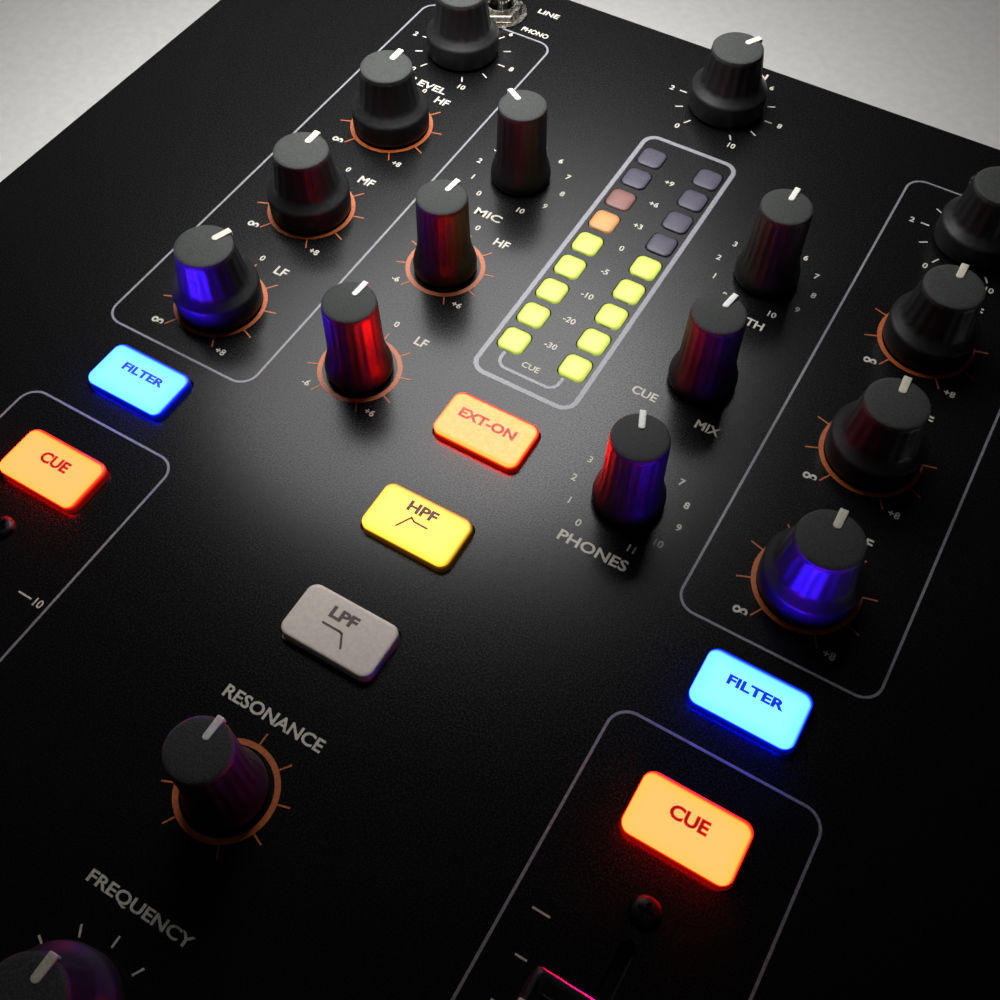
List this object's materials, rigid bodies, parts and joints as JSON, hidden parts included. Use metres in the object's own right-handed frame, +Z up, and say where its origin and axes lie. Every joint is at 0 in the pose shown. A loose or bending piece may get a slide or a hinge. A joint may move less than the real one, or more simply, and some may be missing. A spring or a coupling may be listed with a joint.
{
  "type": "dj mixer",
  "caption": "Compact two-channel DJ mixer: black steel case, rotary equaliser and level knobs, lit push buttons, level meter, channel faders, crossfader and rear sockets.",
  "frame": {"origin": "floor level under the middle of the whole mixer's outline, terminals included; the high-pass button is straight above it", "axes": "+X to the right of the control panel, +Y from the front edge to the rear connectors, +Z up out of the panel"},
  "size_m": [0.226, 0.285, 0.0872],
  "materials": {
    "panel_paint": "fine-textured black powder coat",
    "tray_paint": "black powder coat on steel",
    "knob_plastic": "black moulded plastic with a matte cap",
    "fader_plastic": "black moulded plastic",
    "black_plastic": "black moulded plastic",
    "foot_rubber": "moulded rubber",
    "circuit_board": "green solder mask",
    "zinc_steel": "zinc plated",
    "nickel_plate": "nickel plated brass",
    "meter_lens": "translucent acrylic, lit from below",
    "lens_blue": "translucent acrylic, lit blue from below",
    "lens_orange": "translucent acrylic, lit orange from below",
    "lens_yellow": "translucent acrylic, lit yellow from below",
    "lens_red": "translucent acrylic, lit red from below",
    "lens_grey": "translucent acrylic, unlit"
  },
  "bodies": {
    "case": {"top_cover": "panel_paint", "base_tray": "tray_paint", "front_panel": "tray_paint", "rear_panel": "tray_paint", "foot_front_left": "foot_rubber", "foot_front_right": "foot_rubber", "foot_rear_left": "foot_rubber", "foot_rear_right": "foot_rubber", "control_board": "circuit_board", "meter_board": "circuit_board", "meter_light_guide_left": "meter_lens", "meter_light_guide_right": "meter_lens", "audio_board": "circuit_board", "power_supply_board": "circuit_board", "left_fader_track": "zinc_steel", "right_fader_track": "zinc_steel", "crossfader_track": "zinc_steel", "power_inlet": "black_plastic", "power_switch_bezel": "black_plastic", "main_out_left": "zinc_steel", "main_out_right": "zinc_steel", "mic_jack": "black_plastic", "rca_deck_left": "nickel_plate", "rca_deck_right": "nickel_plate", "rca_rec_out": "nickel_plate", "booth_jack_left": "nickel_plate", "booth_jack_right": "nickel_plate", "phones_jack_large": "nickel_plate", "phones_jack_small": "nickel_plate", "ground_post": "nickel_plate"},
    "knob_left_level": {"knob_left_level": "knob_plastic"},
    "knob_left_hf": {"knob_left_hf": "knob_plastic"},
    "knob_left_mf": {"knob_left_mf": "knob_plastic"},
    "knob_left_lf": {"knob_left_lf": "knob_plastic"},
    "knob_right_level": {"knob_right_level": "knob_plastic"},
    "knob_right_hf": {"knob_right_hf": "knob_plastic"},
    "knob_right_mf": {"knob_right_mf": "knob_plastic"},
    "knob_right_lf": {"knob_right_lf": "knob_plastic"},
    "knob_mic_level": {"knob_mic_level": "knob_plastic"},
    "knob_mic_hf": {"knob_mic_hf": "knob_plastic"},
    "knob_mic_lf": {"knob_mic_lf": "knob_plastic"},
    "knob_booth": {"knob_booth": "knob_plastic"},
    "knob_cue_mix": {"knob_cue_mix": "knob_plastic"},
    "knob_phones": {"knob_phones": "knob_plastic"},
    "knob_main_level": {"knob_main_level": "knob_plastic"},
    "knob_resonance": {"knob_resonance": "knob_plastic"},
    "knob_frequency": {"knob_frequency": "knob_plastic"},
    "button_ext_on": {"button_ext_on": "lens_orange"},
    "button_hpf": {"button_hpf": "lens_yellow"},
    "button_lpf": {"button_lpf": "lens_grey"},
    "button_left_filter": {"button_left_filter": "lens_blue"},
    "button_right_filter": {"button_right_filter": "lens_blue"},
    "button_left_cue": {"button_left_cue": "lens_red"},
    "button_right_cue": {"button_right_cue": "lens_red"},
    "left_fader_cap": {"left_fader_cap": "fader_plastic"},
    "right_fader_cap": {"right_fader_cap": "fader_plastic"},
    "crossfader_cap": {"crossfader_cap": "fader_plastic"},
    "toggle_left_input": {"toggle_left_input": "nickel_plate"},
    "toggle_right_input": {"toggle_right_input": "nickel_plate"},
    "power_rocker": {"power_rocker": "black_plastic"}
  },
  "joints": [
    {"name": "knob_left_level_turn", "type": "hinge", "parent": "case", "child": "knob_left_level", "pos_m": [-0.056, 0.1051, 0.07], "axis": [0, 0, -1], "range_deg": [-210, 90]},
    {"name": "knob_left_hf_turn", "type": "hinge", "parent": "case", "child": "knob_left_hf", "pos_m": [-0.056, 0.0773, 0.07], "axis": [0, 0, -1], "range_deg": [-150, 150]},
    {"name": "knob_left_mf_turn", "type": "hinge", "parent": "case", "child": "knob_left_mf", "pos_m": [-0.056, 0.0495, 0.07], "axis": [0, 0, -1], "range_deg": [-150, 150]},
    {"name": "knob_left_lf_turn", "type": "hinge", "parent": "case", "child": "knob_left_lf", "pos_m": [-0.056, 0.0217, 0.07], "axis": [0, 0, -1], "range_deg": [-170, 130]},
    {"name": "knob_right_level_turn", "type": "hinge", "parent": "case", "child": "knob_right_level", "pos_m": [0.056, 0.1051, 0.07], "axis": [0, 0, -1], "range_deg": [-210, 90]},
    {"name": "knob_right_hf_turn", "type": "hinge", "parent": "case", "child": "knob_right_hf", "pos_m": [0.056, 0.0773, 0.07], "axis": [0, 0, -1], "range_deg": [-150, 150]},
    {"name": "knob_right_mf_turn", "type": "hinge", "parent": "case", "child": "knob_right_mf", "pos_m": [0.056, 0.0495, 0.07], "axis": [0, 0, -1], "range_deg": [-147, 153]},
    {"name": "knob_right_lf_turn", "type": "hinge", "parent": "case", "child": "knob_right_lf", "pos_m": [0.056, 0.0217, 0.07], "axis": [0, 0, -1], "range_deg": [-149, 151]},
    {"name": "knob_mic_level_turn", "type": "hinge", "parent": "case", "child": "knob_mic_level", "pos_m": [-0.0258, 0.0773, 0.07], "axis": [0, 0, -1], "range_deg": [-90, 210]},
    {"name": "knob_mic_hf_turn", "type": "hinge", "parent": "case", "child": "knob_mic_hf", "pos_m": [-0.0258, 0.0495, 0.07], "axis": [0, 0, -1], "range_deg": [-155, 145]},
    {"name": "knob_mic_lf_turn", "type": "hinge", "parent": "case", "child": "knob_mic_lf", "pos_m": [-0.0258, 0.0217, 0.07], "axis": [0, 0, -1], "range_deg": [-152, 148]},
    {"name": "knob_booth_turn", "type": "hinge", "parent": "case", "child": "knob_booth", "pos_m": [0.0258, 0.0773, 0.07], "axis": [0, 0, -1], "range_deg": [-150, 150]},
    {"name": "knob_cue_mix_turn", "type": "hinge", "parent": "case", "child": "knob_cue_mix", "pos_m": [0.0258, 0.0495, 0.07], "axis": [0, 0, -1], "range_deg": [-159, 141]},
    {"name": "knob_phones_turn", "type": "hinge", "parent": "case", "child": "knob_phones", "pos_m": [0.0258, 0.0217, 0.07], "axis": [0, 0, -1], "range_deg": [-128, 172]},
    {"name": "knob_main_level_turn", "type": "hinge", "parent": "case", "child": "knob_main_level", "pos_m": [0, 0.1171, 0.07], "axis": [0, 0, -1], "range_deg": [-180, 120]},
    {"name": "knob_resonance_turn", "type": "hinge", "parent": "case", "child": "knob_resonance", "pos_m": [0, -0.048, 0.07], "axis": [0, 0, -1], "range_deg": [-150, 150]},
    {"name": "knob_frequency_turn", "type": "hinge", "parent": "case", "child": "knob_frequency", "pos_m": [0, -0.08, 0.07], "axis": [0, 0, -1], "range_deg": [-150, 150]},
    {"name": "button_ext_on_press", "type": "slide", "parent": "case", "child": "button_ext_on", "axis": [0, 0, -1], "range_m": [0, 0.0008], "stiffness_N_per_m": 1000, "springref_m": -0.0005},
    {"name": "button_hpf_press", "type": "slide", "parent": "case", "child": "button_hpf", "axis": [0, 0, -1], "range_m": [0, 0.0008], "stiffness_N_per_m": 1000, "springref_m": -0.0005},
    {"name": "button_lpf_press", "type": "slide", "parent": "case", "child": "button_lpf", "axis": [0, 0, -1], "range_m": [0, 0.0008], "stiffness_N_per_m": 1000, "springref_m": -0.0005},
    {"name": "button_left_filter_press", "type": "slide", "parent": "case", "child": "button_left_filter", "axis": [0, 0, -1], "range_m": [0, 0.0008], "stiffness_N_per_m": 1000, "springref_m": -0.0005},
    {"name": "button_right_filter_press", "type": "slide", "parent": "case", "child": "button_right_filter", "axis": [0, 0, -1], "range_m": [0, 0.0008], "stiffness_N_per_m": 1000, "springref_m": -0.0005},
    {"name": "button_left_cue_press", "type": "slide", "parent": "case", "child": "button_left_cue", "axis": [0, 0, -1], "range_m": [0, 0.0008], "stiffness_N_per_m": 1000, "springref_m": -0.0005},
    {"name": "button_right_cue_press", "type": "slide", "parent": "case", "child": "button_right_cue", "axis": [0, 0, -1], "range_m": [0, 0.0008], "stiffness_N_per_m": 1000, "springref_m": -0.0005},
    {"name": "left_fader_slide", "type": "slide", "parent": "case", "child": "left_fader_cap", "axis": [0, 1, 0], "range_m": [-0.048, 0.012]},
    {"name": "right_fader_slide", "type": "slide", "parent": "case", "child": "right_fader_cap", "axis": [0, 1, 0], "range_m": [-0.048, 0.012]},
    {"name": "crossfader_slide", "type": "slide", "parent": "case", "child": "crossfader_cap", "axis": [1, 0, 0], "range_m": [-0.0225, 0.0225]},
    {"name": "toggle_left_input_tilt", "type": "hinge", "parent": "case", "child": "toggle_left_input", "pos_m": [-0.056, 0.121, 0.0665], "axis": [1, 0, 0], "range_deg": [0, 24]},
    {"name": "toggle_right_input_tilt", "type": "hinge", "parent": "case", "child": "toggle_right_input", "pos_m": [0.056, 0.121, 0.0665], "axis": [1, 0, 0], "range_deg": [0, 24]},
    {"name": "power_rocker_rock", "type": "hinge", "parent": "case", "child": "power_rocker", "pos_m": [0.088, 0.132, 0.047], "axis": [0, 0, 1], "range_deg": [-16, 0]}
  ]
}
